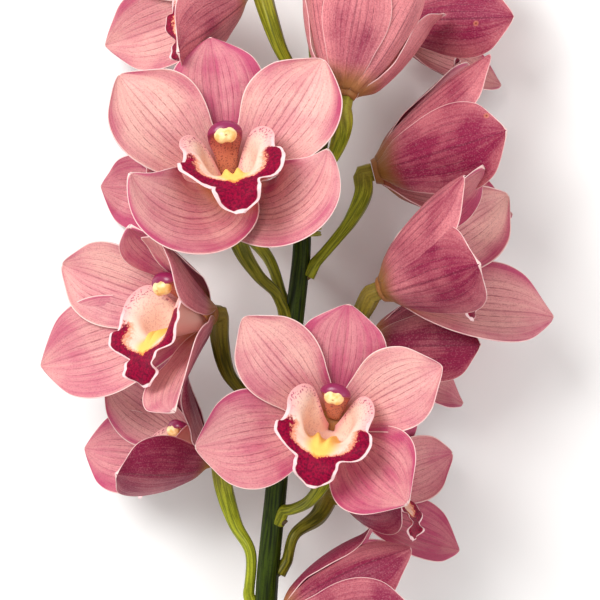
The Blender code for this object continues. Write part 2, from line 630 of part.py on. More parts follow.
def main():
    clear_scene()
    parts = bpy.data.collections.new("orchid_stem")
    scraps = bpy.data.collections.new("pieces_to_fuse")
    bpy.context.scene.collection.children.link(parts)
    bpy.context.scene.collection.children.link(scraps)
    root = bpy.data.objects.new("orchid_stem_origin", None)
    parts.objects.link(root)
    root.location = (-MIDDLE[0]*MM, -MIDDLE[1]*MM, 0.0)
    bpy.context.view_layer.update()
    stem = through(STEM, STEM_POINTS)
    make_stem(stem, parts, scraps, root)
    make_tie(stem, parts, root)
    for bud in BUDS:
        make_bud(bud, stem, parts, root)
    for bloom in BLOOMS:
        make_bloom(bloom, stem, parts, scraps, root)
    bpy.data.collections.remove(scraps)


main()
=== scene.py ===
"""Looks for the cymbidium orchid stem: fine blooms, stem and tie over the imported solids."""

import math

import bpy
import numpy as np
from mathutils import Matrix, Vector


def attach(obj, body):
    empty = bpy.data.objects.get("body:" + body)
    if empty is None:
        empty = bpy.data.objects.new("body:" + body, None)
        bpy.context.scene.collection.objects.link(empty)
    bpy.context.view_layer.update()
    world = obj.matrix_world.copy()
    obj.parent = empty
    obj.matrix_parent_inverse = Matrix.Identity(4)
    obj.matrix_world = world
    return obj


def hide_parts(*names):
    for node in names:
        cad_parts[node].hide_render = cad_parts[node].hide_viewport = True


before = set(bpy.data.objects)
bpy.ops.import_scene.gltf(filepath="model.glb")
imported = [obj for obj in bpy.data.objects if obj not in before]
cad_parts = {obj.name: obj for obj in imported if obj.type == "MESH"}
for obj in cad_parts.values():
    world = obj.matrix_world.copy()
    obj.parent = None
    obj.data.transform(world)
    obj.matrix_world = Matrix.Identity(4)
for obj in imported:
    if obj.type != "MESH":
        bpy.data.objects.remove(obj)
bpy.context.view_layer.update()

MM = 0.001
# Middle of the object's box in the photograph's own axes, in millimetres. The photograph looks
# down along z at x = 0, y = 0 from this height above the floor.
MIDDLE = np.array([-1.32, -72.28, 0.0])
EYE_HEIGHT = 1105.0
LENS = 133.33
SENSOR = 36.0

# Stage, in metres and watts: name, place, size and power of each lamp, and the place they shine at
FLOOR_SIZE = 6.0
WORLD_LIGHT = 0.66
LIGHTS = (("key", (-0.75, 0.75, 1.5), 0.8, 26.0), ("fill", (0.95, -0.5, 1.2), 1.2, 6.0))
LIT_PLACE = (0.0, 0.05, 0.06)

# Sizes in millimetres. A bloom's own size factor applies to its tepals, lip, column and cup.
TEPAL_ROOT = 6.0
TEPAL_ROOT_BACK = 0.6
TIP_HALF_WIDTH = 0.5
TIP_CURL = (-2.4, 0.8)
SEPAL_DROP = 2.2
THICKNESS = 0.8
LIP_LENGTH = 61.0
COLUMN_LENGTH = 29.0
CUP_RADIUS = 6.8
CUP_DEPTH = 3.6
CUP_FRONT = 0.4
PEDICEL_RADIUS = 2.8
OVARY_RADIUS = 4.5
OVARY_END = 5.0
BUD_LENGTH = 29.0
BUD_RADIUS = 6.8
BUD_STALK = 6.0
STRAND_RADIUS = 1.1
# Gap between seated neighbours, and least height of a blade over the floor
GAP = 0.35
LOWEST = 0.15
# How far a pedicel's foot reaches into the stem and down along it
FOOT_IN = 3.2
FOOT_DOWN = 6.5
# Distance from a margin, for a form that has none
FAR_FROM_EDGE = 10.0

# Shares of a tepal's half width that its tip loses and its claw gains
TIP_TAPER = 0.20
CLAW_WIDENING = 0.3
# Where on its sine curve a tepal's outline starts, and how full that curve is
OUTLINE_FROM = 0.06
OUTLINE_POWER = 0.66
# For each degree of closing: degrees that a tepal's root and its far part lift, and share of
# its width that it loses. Past HALF_OPEN, layer_closed says how the tepals overlap.
CLOSING_RISE = 0.1
CLOSING_LEAN = 1.3
CLOSING_NARROW = 0.003
HALF_OPEN = 15
# Steps in a traced midline, and the share that a closed end's last ring keeps of its width
TRACE_STEPS = 96
CLOSED_SHARE = 1e-3

# The lip at fractions of its length: half width over the curved cross-section, degrees that its
# sides fold up and that their margins flare back out, degrees that its midline dips
LIP_HALF_WIDTHS = ([0, 0.08, 0.2, 0.34, 0.42, 0.48, 0.56, 0.66, 0.74, 0.82, 0.92, 1.0],
                   [5, 15, 34, 38, 34, 28, 28, 25, 13, 12, 9.6, 2.2])
LIP_FOLDS = ([0, 0.2, 0.34, 0.44, 0.54, 0.66, 0.76, 1.0], [90, 98, 90, 72, 44, 22, 10, 8])
LIP_FLARES = (LIP_FOLDS[0], [0, 30, 66, 72, 52, 26, 10, 0])
LIP_FLARE_FROM = 0.58
LIP_DIPS = ([0, 0.25, 0.5, 0.62, 0.8, 1.0], [34, 8, 12, 34, 80, 105])
LIP_ROOT = (0.0, -4.2, 1.2)
LIP_SLICES = 16
RUFFLE_HEIGHT = 2.2
RUFFLE_LENGTH = 0.24
LOBE_FORWARD = 4.0
KEEL_SPAN = (0.20, 0.66)
KEEL_PLACES = (5.6, 2.0)
KEEL_HALF_WIDTH = 1.9
KEEL_HEIGHT = 3.2
FRILL_HEIGHT = 0.9
FRILL_LENGTH = 0.105

# The column at fractions of its length: degrees that its midline climbs, half width, height
COLUMN_CLIMBS = ([0, 0.5, 1.0], [24, 40, -24])
COLUMN_HALF_WIDTHS = ([0, 0.4, 0.75, 0.92, 1.0], [3.2, 5.4, 7.8, 7.2, 4.5])
COLUMN_HEIGHTS = ([0, 0.4, 0.8, 0.95, 1.0], [3.0, 3.7, 4.8, 4.8, 3.0])
COLUMN_ROOT = (0.0, 2.2, 2.3)
ANTHER_HALVES = (5.2, 4.1, 3.8)
ANTHER_BACK = 1.2
ANTHER_BELOW = 1.8

# A blade's materials, by their places in its list
INSIDE, OUTSIDE, RIM = 0, 1, 2

# Rows of a blade crowd towards its tip, and a narrow column lies along each margin
ROW_CROWDING = 1.4
RIM_AT = 0.985
# Steps along and across each form
TEPAL_GRID = (44, 30)
LIP_GRID = (80, 72)

UP_STEM = (0, 1, 0)
UP_SKY = (0, 0, 1)

# Tepals of an open bloom, in degrees and millimetres. layer is how far one lies behind the
# petals, rise how steeply it leaves the cup and lean how steeply it ends.
TEPALS = {
    "dorsal": dict(turn=0, length=62.0, half_width=22.0, rise=46, lean=11, cup=16, peak=1.55,
                   layer=1.7, layer_closed=1.7),
    "petal_left": dict(turn=-52, length=65.0, half_width=20.5, rise=46, lean=13, cup=24, peak=1.5,
                       layer=0.0, layer_closed=0.9),
    "petal_right": dict(turn=52, length=65.0, half_width=20.5, rise=46, lean=13, cup=24, peak=1.5,
                        layer=0.0, layer_closed=0.0),
    "sepal_left": dict(turn=-117, sweep=7, length=66.0, half_width=25.0, rise=46, lean=14, cup=30,
                       peak=1.45, layer=1.7, layer_closed=3.5),
    "sepal_right": dict(turn=117, sweep=-7, length=66.0, half_width=25.0, rise=46, lean=14, cup=30,
                        peak=1.45, layer=1.7, layer_closed=2.6),
}

# Place, facing, roll, size and opening of each bloom, from the cut end to the tip, with what its
# single tepals change, and where its pedicel leaves the stem and passes on its way
BLOOMS = [
    dict(name="bloom_01", at=(-6.5, -150.5, 67.5), facing=(0.95, 0.32, 0.02), roll=14, size=1.02,
         closing=46, lip_size=0.72, lip_width=0.8, leaves=-182, via=[(-17.0, -168.0, 62)],
         change={"sepal_left": dict(lean=-8, length=5),
                 "petal_left": dict(turn=-14, lean=18, length=5, half_width=2),
                 "dorsal": dict(lean=14, length=-3)}),
    dict(name="bloom_02", at=(-45.0, -74.0, 54), facing=(-0.85, 0.22, 0.5), roll=-5, size=0.93,
         closing=18, lip_size=0.79, lip_width=0.72, leaves=-141,
         via=[(-23.5, -119.5, 52), (-30.5, -107.0, 48), (-36.0, -90.5, 47)],
         change={"sepal_right": dict(turn=8, lean=36, rise=8, length=8, half_width=-3),
                 "sepal_left": dict(turn=22)}),
    dict(name="bloom_03", at=(21.5, -93.0, 44), facing=(0.90, 0.15, 0.30), roll=24, size=0.92,
         closing=26, lip_size=0.85, leaves=-122.5, via=[(-2.5, -111.0, 54), (8.5, -103.0, 47)],
         change={"dorsal": dict(length=-2.5)}),
    dict(name="bloom_04", at=(15.0, -55.5, 99), facing=(-0.10, 0.09, 1.0), roll=12, size=0.94,
         lip_size=0.93, lip_width=0.94, leaves=-98,
         via=[(-2.5, -97.5, 66), (5.5, -92.0, 76), (13.0, -78.0, 86)],
         change={"dorsal": dict(turn=-3, length=-6), "petal_right": dict(length=-5),
                 "sepal_right": dict(turn=10, lean=14, length=-8)}),
    dict(name="bloom_05", at=(-43.5, -6.5, 86), facing=(-0.70, 0.02, 0.71), roll=-10, size=1.02,
         closing=8, lip_size=0.95, lip_width=0.91, leaves=-56.5,
         via=[(-22.5, -47.0, 66), (-33.0, -35.0, 70), (-37.0, -20.0, 74)],
         change={"dorsal": dict(lean=44, turn=10, length=-6),
                 "petal_right": dict(lean=28, rise=14),
                 "sepal_right": dict(turn=40, lean=18, rise=10),
                 "sepal_left": dict(length=13, turn=14, lean=-3),
                 "petal_left": dict(turn=-8, lean=-3, length=3)}),
    dict(name="bloom_06", at=(34.5, -21.5, 37.0), facing=(0.98, 0.0, -0.05), roll=25, size=0.88,
         closing=40, lip_size=0.72, lip_width=0.8, leaves=-47,
         via=[(7.0, -34.0, 50), (21.5, -26.5, 42)]),
    dict(name="bloom_07", at=(40.5, 6.0, 85), facing=(0.85, 0.34, 0.42), roll=8, size=1.10,
         closing=30, lip_size=0.77, lip_width=0.72, leaves=-29,
         via=[(14.0, -21.0, 66), (27.0, -8.0, 75)],
         change={"dorsal": dict(lean=30), "petal_left": dict(lean=22, half_width=3),
                 "sepal_left": dict(lean=12, rise=12), "sepal_right": dict(length=5, lean=-8)}),
    dict(name="bloom_08", at=(-32.0, 52.5, 99), facing=(0.03, 0.42, 1.0), roll=-8, size=1.02,
         closing=4, lip_size=0.97, lip_width=0.90, leaves=-4,
         via=[(-11.5, 3.5, 66), (-19.5, 11.5, 74), (-28.0, 26.0, 84)],
         change={"petal_left": dict(turn=-4, sweep=26, half_width=3),
                 "petal_right": dict(turn=10, sweep=-26, half_width=3, rise=-3),
                 "sepal_left": dict(turn=-50, sweep=128, lean=23, rise=-4, cup=-4, length=6,
                                    half_width=-2, peak=-0.4, layer=1),
                 "sepal_right": dict(turn=46, sweep=-132, lean=22, rise=-14, cup=-4, length=-3,
                                     half_width=-4, peak=-0.4, layer=3)}),
    dict(name="bloom_09", at=(-46.0, 49.5, 28.4), facing=(-0.92, 0.0, 0.3), roll=32, size=0.90,
         closing=24, lip_size=0.72, lip_width=0.8, leaves=0,
         via=[(-14.0, 18.0, 52), (-24.0, 31.0, 42)], change={"sepal_right": dict(turn=-30)}),
    dict(name="bloom_10", at=(38.0, 61.5, 53), facing=(0.97, 0.24, 0.05), roll=24, size=1.06,
         closing=40, lip_size=0.72, lip_width=0.8, leaves=18,
         via=[(16.5, 28.0, 62), (24.5, 38.5, 59), (30.0, 51.0, 55)],
         change={"sepal_left": dict(lean=-8, length=6),
                 "petal_left": dict(lean=4, length=4, half_width=2)}),
    dict(name="bloom_11", at=(20.5, 95.0, 92), facing=(0.22, 0.93, -0.25), roll=8, size=0.93,
         up=UP_SKY, closing=46, lip_size=0.70, lip_width=0.7, leaves=49,
         via=[(10.0, 58.0, 72), (16.5, 69.0, 82), (19.5, 80.0, 90)]),
    dict(name="bloom_12", at=(-27.0, 146.5, 62), facing=(-0.9, -0.25, 0.22), roll=5, size=1.0,
         closing=30, lip_size=0.86, leaves=84.5,
         via=[(0.0, 101.0, 62), (-9.0, 117.0, 67), (-15.0, 134.0, 66)],
         change={"sepal_left": dict(length=14, turn=12)}),
    dict(name="bloom_13", at=(45.5, 134.0, 34.2), facing=(0.98, -0.02, 0.0), roll=22, size=0.96,
         closing=44, lip_size=0.72, lip_width=0.8, leaves=96.5,
         via=[(21.5, 114.0, 48), (33.0, 128.0, 39)]),
]

# How brown each pedicel is, from 0 for yellow-green to 1, and how flushed each bloom is
BROWNED = {"bloom_01": 0.5, "bloom_02": 0.1, "bloom_03": 0.7, "bloom_04": 0.35, "bloom_05": 0.75,
           "bloom_06": 0.8, "bloom_07": 0.9, "bloom_08": 0.6, "bloom_10": 0.15, "bloom_11": 0.0}
FLUSHED = {"bloom_02": 0.6, "bloom_03": 0.9, "bloom_04": 0.25, "bloom_05": 0.2, "bloom_07": 0.0,
           "bloom_08": 0.0, "bloom_09": 0.6, "bloom_11": -1.5, "bloom_12": -0.4, "bloom_13": 0.0}
# Width of the lip's crimson mark in units of 30 mm, at fractions of the lip's length
V_UNIT = 30.0
V_WIDTHS = ((0.0, 0.0), (0.38, 0.03), (0.46, 0.17), (0.56, 0.28), (0.66, 0.37), (0.74, 0.41),
            (0.84, 0.55), (1.0, 1.0))
# How much more flushed each tepal is than its bloom
PART_FLUSH = {"dorsal": 1.15, "petal_left": 0.0, "petal_right": 0.0, "sepal_left": 0.65,
              "sepal_right": 0.60}

# Places of the two brown ring spots on the outer tepals, in x and y of the finished object
BLEMISHES = ((85.5, 155.5), (83.5, 201.5))

# Places on the stem's midline, from the cut end to the tip, each with the stem's radius
STEM = [
    (-19.0, -388.0, 5.4, 5.8), (-17.5, -293.0, 20, 5.7), (-16.5, -216.0, 38, 5.5),
    (-16.0, -142.0, 52, 5.3), (-13.5, -111.5, 56, 5.2), (-11.5, -92.0, 58, 5.1),
    (-8.5, -61.0, 60, 4.9), (-4.5, -23.5, 60, 4.7), (-2.0, -3.0, 60, 4.5), (0.5, 19.0, 60, 4.3),
    (2.0, 41.5, 60, 4.2), (7.5, 63.5, 59, 3.9), (11.0, 85.0, 58, 3.5), (10.0, 100.0, 58, 3.3),
    (7.5, 113.0, 57, 3.1), (6.0, 141.5, 54, 2.8), (4.0, 165.0, 54, 2.4), (1.5, 188.5, 55, 1.9),
    (0.0, 205.0, 56, 1.6),
]
# Middles of the three papery sheaths along the stem
SHEATHS = (-316.0, -262.0, -208.0)
SHEATH_LENGTH = 44.0
SHEATH_SKIN = 0.4
SHEATH_OPENING = 1.1
SHEATH_GROOVE = 0.25
BRACT_LENGTH = 8.0
BRACT_RADIUS = 2.1
BRACT_BELOW = 4.0
BRACT_IN = 1.6
BUDS = [
    dict(name="bud_01", leaves=163, heading=(-0.55, 0.80, 0.25)),
    dict(name="bud_02", leaves=184, heading=(0.60, 0.78, -0.10)),
    dict(name="bud_03", leaves=205, heading=(-0.05, 1.0, 0.05)),
]
# Radius of a bud with its stalk, at fractions of their length
BUD_RADII = ([0, 0.25, 0.42, 0.6, 0.8, 0.93, 1.0],
             [1.5, 1.6, 0.6*BUD_RADIUS, BUD_RADIUS, 0.76*BUD_RADIUS, 0.36*BUD_RADIUS, 0.5])
# The tie winds from the first to the second place along the stem and ends in a loose tail.
# Each turn has this many steps, with room round the stem in x and z, and shifted in x.
TIE_SPAN = (42.0, 30.5)
STRANDS = 3
TIE_TURNS = 4
TIE_STEPS = 40
TIE_ROOM = (1.5, 0.8)
TIE_SHIFT = 0.8
TIE_TAIL = [(-7.0, 28.0, 66.5), (-10.5, 26.5, 65.5), (-14.0, 25.5, 64.0)]


def unit(vector):
    vector = np.asarray(vector, float)
    return vector/np.linalg.norm(vector)


def smooth_step(x):
    x = np.clip(x, 0, 1)
    return x*x*(3 - 2*x)


def bloom_axes(bloom):
    """Right, up and facing directions of a bloom, as rows."""
    facing = unit(bloom["facing"])
    hint = np.array(bloom.get("up", UP_STEM), float)
    up = unit(hint - facing*(hint @ facing))
    right = np.cross(up, facing)
    roll = np.radians(bloom["roll"])
    up = up*np.cos(roll) + right*np.sin(roll)
    return np.array([np.cross(up, facing), up, facing])


def trace(turn, pitch, length, start):
    """Midline of a flower part: points, directions and the normals of its inner side."""
    turn, pitch = np.radians(turn), np.radians(pitch)
    outward = np.stack([np.sin(turn), np.cos(turn), 0*turn], axis=-1)
    forward = np.array([0.0, 0.0, 1.0])
    tangent = np.cos(pitch)[:, None]*outward + np.sin(pitch)[:, None]*forward
    normal = np.cos(pitch)[:, None]*forward - np.sin(pitch)[:, None]*outward
    step = (tangent[1:] + tangent[:-1])/2*length/TRACE_STEPS
    points = np.vstack([np.zeros(3), np.cumsum(step, axis=0)]) + start
    return points, tangent, normal


def read_line(line, where):
    even = np.linspace(0, 1, TRACE_STEPS + 1)
    return [np.stack([np.interp(where, even, part[:, i]) for i in range(3)], axis=-1) for part in line]


def tepal_half_width(tepal, s):
    """Half width of a tepal, broadest in its middle and narrowing to a blunt point."""
    outline = np.sin(np.pi*(OUTLINE_FROM + (1 - OUTLINE_FROM)*s)**tepal["peak"])
    full = np.maximum(outline, 0)**OUTLINE_POWER
    claw = 1 + CLAW_WIDENING*(1 - smooth_step(s/0.35))
    return tepal["half_width"]*full*claw*(1 - TIP_TAPER*smooth_step((s - 0.80)/0.19))


def tepal_surface(tepal, s, t):
    """Inner face of one tepal, with the gentle waves of its margin and its long ribs."""
    even = np.linspace(0, 1, TRACE_STEPS + 1)
    turn = tepal["turn"] + tepal.get("sweep", 0)*even
    pitch = tepal["lean"] + (tepal["rise"] - tepal["lean"])*(1 - even)**1.4
    root = np.radians(tepal["turn"])
    start = (TEPAL_ROOT*np.sin(root), TEPAL_ROOT*np.cos(root), -TEPAL_ROOT_BACK)
    point, along, inner = read_line(trace(turn, pitch, tepal["length"], start), s)
    across = np.cross(along, inner)
    half = np.maximum(tepal_half_width(tepal, s), TIP_HALF_WIDTH)
    from_axis = np.hypot(point[:, 0], point[:, 1])
    nest = half*along[:, 2]/from_axis
    bend = np.clip(nest, 0.02, 1.3) + np.radians(tepal["cup"]*s**1.5 + 25*s**8)
    radius = half/bend
    keel = 0.05*tepal["half_width"]*np.exp(-(t/0.22)**2)*np.sin(np.pi*0.93*s)
    wave = tepal["wave"]*smooth_step((s - 0.3)/0.4)*smooth_step((1 - s)/0.14)*t**4*np.sin(
        2*np.pi*(tepal["waves"]*s + tepal["phase"]) + np.where(t > 0, 1.9, 0))
    ribs = 0.10*np.cos(2*np.pi*6.5*t + 0.6)*smooth_step(s/0.15)*smooth_step((1 - s)/0.2)*(1 - t**2)
    curl = tepal["curl"]*smooth_step((s - 0.84)/0.16) - tepal["drop"]*smooth_step((s - 0.1)/0.25)*t**4
    side = radius*np.sin(t*bend)
    high = radius*(1 - np.cos(t*bend)) - keel - tepal["layer"]*smooth_step(s/0.18) + wave + ribs + curl
    return point + side[:, None]*across + high[:, None]*inner


def soft_read(x, knots, values):
    """Values read on a curve without corners through the knots."""
    knots, values = np.array(knots, float), np.array(values, float)
    slopes = np.gradient(values, knots)
    i = np.clip(np.searchsorted(knots, x), 1, len(knots) - 1)
    width = knots[i] - knots[i - 1]
    h = (x - knots[i - 1])/width
    return ((2*h**3 - 3*h**2 + 1)*values[i - 1] + (h**3 - 2*h**2 + h)*width*slopes[i - 1]
            + (3*h**2 - 2*h**3)*values[i] + (h**3 - h**2)*width*slopes[i])


def lip_surface(width, s, t):
    """Upper face of the lip: a trough with raised side lobes and two keels, then a ruffled midlobe."""
    even = np.linspace(0, 1, TRACE_STEPS + 1)
    line = trace(180 + 0*even, 90 - soft_read(even, *LIP_DIPS), LIP_LENGTH, LIP_ROOT)
    point, along, upper = read_line(line, s)
    half = soft_read(s, *LIP_HALF_WIDTHS)
    fold = np.radians(soft_read(s, *LIP_FOLDS))
    flare = np.radians(soft_read(s, *LIP_FLARES))
    bend_from = np.interp(s, [0, 0.6, 1], [0.18, 0.12, 0.10])
    bend_to = np.interp(s, [0, 0.5, 0.7, 1], [0.45, 0.5, 0.8, 1])
    reach = np.abs(t)
    side, high = 0*s, 0*s
    for i in range(LIP_SLICES):
        x = reach*(i + 0.5)/LIP_SLICES
        tilt = (fold*smooth_step((x - bend_from)/(bend_to - bend_from))
                - flare*smooth_step((x - LIP_FLARE_FROM)/(1 - LIP_FLARE_FROM)))
        side = side + np.cos(tilt)*half*reach/LIP_SLICES
        high = high + np.sin(tilt)*half*reach/LIP_SLICES
    front = smooth_step((s - 0.46)/0.14)
    wave = np.cos(2*np.pi*(s - 0.60)/RUFFLE_LENGTH + 0.5*np.sign(t))
    high = high + RUFFLE_HEIGHT*front*reach**2*wave
    lobe = np.clip((s - 0.08)/0.3, 0, 1)*np.clip((0.6 - s)/0.12, 0, 1)
    keel_at = np.interp(s, KEEL_SPAN, KEEL_PLACES)
    keels = np.exp(-((reach*half - keel_at)/KEEL_HALF_WIDTH)**2)
    frill = smooth_step((s - 0.40)/0.08)*smooth_step((reach - 0.55)/0.45)
    high = high + FRILL_HEIGHT*frill*np.sin(2*np.pi*s/FRILL_LENGTH + 1.3*np.sign(t))
    keels = KEEL_HEIGHT*keels*smooth_step((s - KEEL_SPAN[0])/0.10)*smooth_step((KEEL_SPAN[1] - s)/0.13)
    across = np.array([1.0, 0.0, 0.0])
    return (point + (side*np.sign(t)*width)[:, None]*across + (high + keels)[:, None]*upper
            + (LOBE_FORWARD*lobe*reach**2)[:, None]*along)


def column_line():
    even = np.linspace(0, 1, TRACE_STEPS + 1)
    return trace(0*even, 90 - soft_read(even, *COLUMN_CLIMBS), COLUMN_LENGTH, COLUMN_ROOT)


def column_surface(s, angle):
    """The arched column: flat below, round on top, widest near its tip."""
    point, _, below = read_line(column_line(), s)
    half = soft_read(s, *COLUMN_HALF_WIDTHS)
    high = soft_read(s, *COLUMN_HEIGHTS)
    rise = np.where(np.sin(angle) > 0, np.sin(angle), 0.25*np.sin(angle))
    across = np.array([1.0, 0.0, 0.0])
    return point + (half*np.cos(angle))[:, None]*across - (high*rise)[:, None]*below


def anther_surface(w, angle):
    """The two-lobed cap under the tip of the column."""
    point, along, below = [part[0] for part in read_line(column_line(), np.array([1.0]))]
    centre = point - ANTHER_BACK*along + ANTHER_BELOW*below
    half_width, half_height, half_length = ANTHER_HALVES
    lobes = 1 - 0.26*np.exp(-(np.cos(angle)/0.30)**2)
    ring = np.sin(np.pi*w)
    across = np.array([1.0, 0.0, 0.0])
    return (centre + (half_width*ring*np.cos(angle))[:, None]*across
            - (half_height*ring*np.sin(angle)*lobes)[:, None]*below
            + (half_length*np.cos(np.pi*w))[:, None]*along)


def through(points, count):
    """Evenly spread points on a smooth curve through the given ones."""
    points = np.asarray(points, float)
    spans = np.linalg.norm(np.diff(points[:, :3], axis=0), axis=1)**0.5
    knots = np.concatenate([[0], np.cumsum(spans)])
    slopes = np.gradient(points, knots, axis=0)
    found = []
    for x in np.linspace(0, knots[-1], count):
        i = min(max(int(np.searchsorted(knots, x)), 1), len(knots) - 1)
        width = knots[i] - knots[i - 1]
        h = (x - knots[i - 1])/width
        found.append((2*h**3 - 3*h**2 + 1)*points[i - 1] + (h**3 - 2*h**2 + h)*width*slopes[i - 1]
                     + (3*h**2 - 2*h**3)*points[i] + (h**3 - h**2)*width*slopes[i])
    return np.array(found)


def stem_at(stem, y):
    """Centre, direction and radius of the stem where it passes y."""
    place = np.array([np.interp(y, stem[:, 1], stem[:, i]) for i in range(4)])
    step = np.array([np.interp(y + 2, stem[:, 1], stem[:, i]) for i in range(3)]) - place[:3]
    if np.linalg.norm(step) < 0.5:
        step = stem[-1, :3] - stem[-2, :3]
    return place[:3], unit(step), place[3]


def leave_stem(stem, y, towards, foot_radius):
    """Where a stalk starts beside the stem at y, so that its foot just clears the stem's skin."""
    centre, along, radius = stem_at(stem, y)
    outward = np.asarray(towards, float) - centre
    outward = unit(outward - along*(outward @ along))
    skin = centre + outward*(radius + GAP)
    straight_out = unit(np.asarray(towards, float) - skin) @ outward
    return skin + outward*foot_radius*np.sqrt(1 - straight_out**2), outward, along


class Sheet:
    """Collects grids of points with their own places along and across, as one mesh."""

    def __init__(self):
        self.points, self.faces, self.slots, self.marks = [], [], [], []
        self.count = 0

    def grid(self, points, marks, shape, slot, flip=False, wrap=False):
        """Points of a grid of shape (rows, columns); wrap joins the last column to the first."""
        rows, columns = shape
        index = np.arange(rows*columns).reshape(rows, columns) + self.count
        if wrap:
            index = np.hstack([index, index[:, :1]])
        a, b = index[:-1, :-1].ravel(), index[:-1, 1:].ravel()
        c, d = index[1:, 1:].ravel(), index[1:, :-1].ravel()
        faces = np.stack([a, d, c, b] if flip else [a, b, c, d], axis=-1)
        self.points.append(points)
        self.marks.append(marks)
        self.faces.append(faces)
        self.slots.append(np.full(len(faces), slot))
        self.count += rows*columns
        return index

    def strip(self, one, other, slot):
        """Faces between two rows of points that are there already."""
        faces = np.stack([one[:-1], one[1:], other[1:], other[:-1]], axis=-1)
        self.faces.append(faces)
        self.slots.append(np.full(len(faces), slot))

    def build(self, name, materials):
        points = np.vstack(self.points)*MM
        faces = np.vstack(self.faces)
        marks = np.vstack(self.marks)
        mesh = bpy.data.meshes.new(name)
        mesh.from_pydata(points.tolist(), [], faces.tolist())
        for item in materials:
            mesh.materials.append(item)
        mesh.polygons.foreach_set("material_index", np.concatenate(self.slots).astype(np.int32))
        for i, mark in enumerate(("along", "across", "edge", "tone")):
            layer = mesh.attributes.new(mark, "FLOAT", "POINT")
            layer.data.foreach_set("value", marks[:, i].astype(np.float32))
        mesh.shade_smooth()
        mesh.validate()
        made = bpy.data.objects.new(name, mesh)
        bpy.context.scene.collection.objects.link(made)
        return made


def blade(sheet, surface, thickness, steps, place, half_width, length, tone):
    """Both faces and the rim of a blade that gets thinner to its margin."""
    rows, columns = steps[0] + 1, steps[1] + 3
    s_line = 1 - (1 - np.linspace(0, 1, rows))**ROW_CROWDING
    t_line = np.concatenate([[-1.0], np.linspace(-RIM_AT, RIM_AT, columns - 2), [1.0]])
    s, t = [grid.ravel() for grid in np.meshgrid(s_line, t_line, indexing="ij")]
    small = 1e-3
    inner = surface(s, t)
    by_s = surface(np.clip(s + small, 0, 1), t) - surface(np.clip(s - small, 0, 1), t)
    by_t = surface(s, np.clip(t + small, -1, 1)) - surface(s, np.clip(t - small, -1, 1))
    normal = np.cross(by_t, by_s)
    normal /= np.maximum(np.linalg.norm(normal, axis=1), 1e-12)[:, None]
    thin = thickness*(1 - 0.55*np.abs(t)**6)*(1 - 0.5*s**8)
    outer = inner - normal*thin[:, None]
    edge = np.minimum((1 - np.abs(t))*half_width(s), (1 - s)*length)
    marks = np.stack([s, t, edge, np.full(len(s), tone)], axis=-1)
    shape = (rows, columns)
    inner, outer = place(inner), place(outer)
    lift = np.maximum(LOWEST - np.minimum(inner[:, 2], outer[:, 2]), 0)
    inner[:, 2] += lift
    outer[:, 2] += lift
    one = sheet.grid(inner, marks, shape, INSIDE)
    other = sheet.grid(outer, marks, shape, OUTSIDE, flip=True)
    sheet.strip(one[:, 0], other[:, 0], RIM)
    sheet.strip(other[:, -1], one[:, -1], RIM)
    sheet.strip(other[0], one[0], RIM)
    sheet.strip(one[-1], other[-1], RIM)


def rod(sheet, points, radius_of, sides, slot, tone=0.0):
    """A round rod with closed ends along a row of points; radius_of takes w along and the angle."""
    points = np.asarray(points, float)
    along = np.gradient(points, axis=0)
    along /= np.linalg.norm(along, axis=1)[:, None]
    side = np.zeros_like(points)
    side[0] = unit(np.cross(along[0], (0.3, 0.1, 1.0)))
    for i in range(1, len(points)):
        side[i] = unit(side[i - 1] - along[i]*(side[i - 1] @ along[i]))
    w = np.linspace(0, 1, len(points))
    closed = np.ones(len(points) + 2)
    closed[[0, -1]] = CLOSED_SHARE
    row = np.concatenate([[0], np.arange(len(points)), [len(points) - 1]])
    angle = np.linspace(0, 2*np.pi, sides, endpoint=False)
    ww, aa = np.meshgrid(w[row], angle, indexing="ij")
    radius = radius_of(ww, aa)*closed[:, None]
    other = np.cross(along, side)
    ring = (points[row][:, None, :] + (radius*np.cos(aa))[..., None]*side[row][:, None, :]
            + (radius*np.sin(aa))[..., None]*other[row][:, None, :])
    marks = np.stack([ww.ravel(), aa.ravel()/(2*np.pi), 0*ww.ravel(), np.full(ww.size, tone)], axis=-1)
    sheet.grid(ring.reshape(-1, 3), marks, ww.shape, slot, wrap=True)


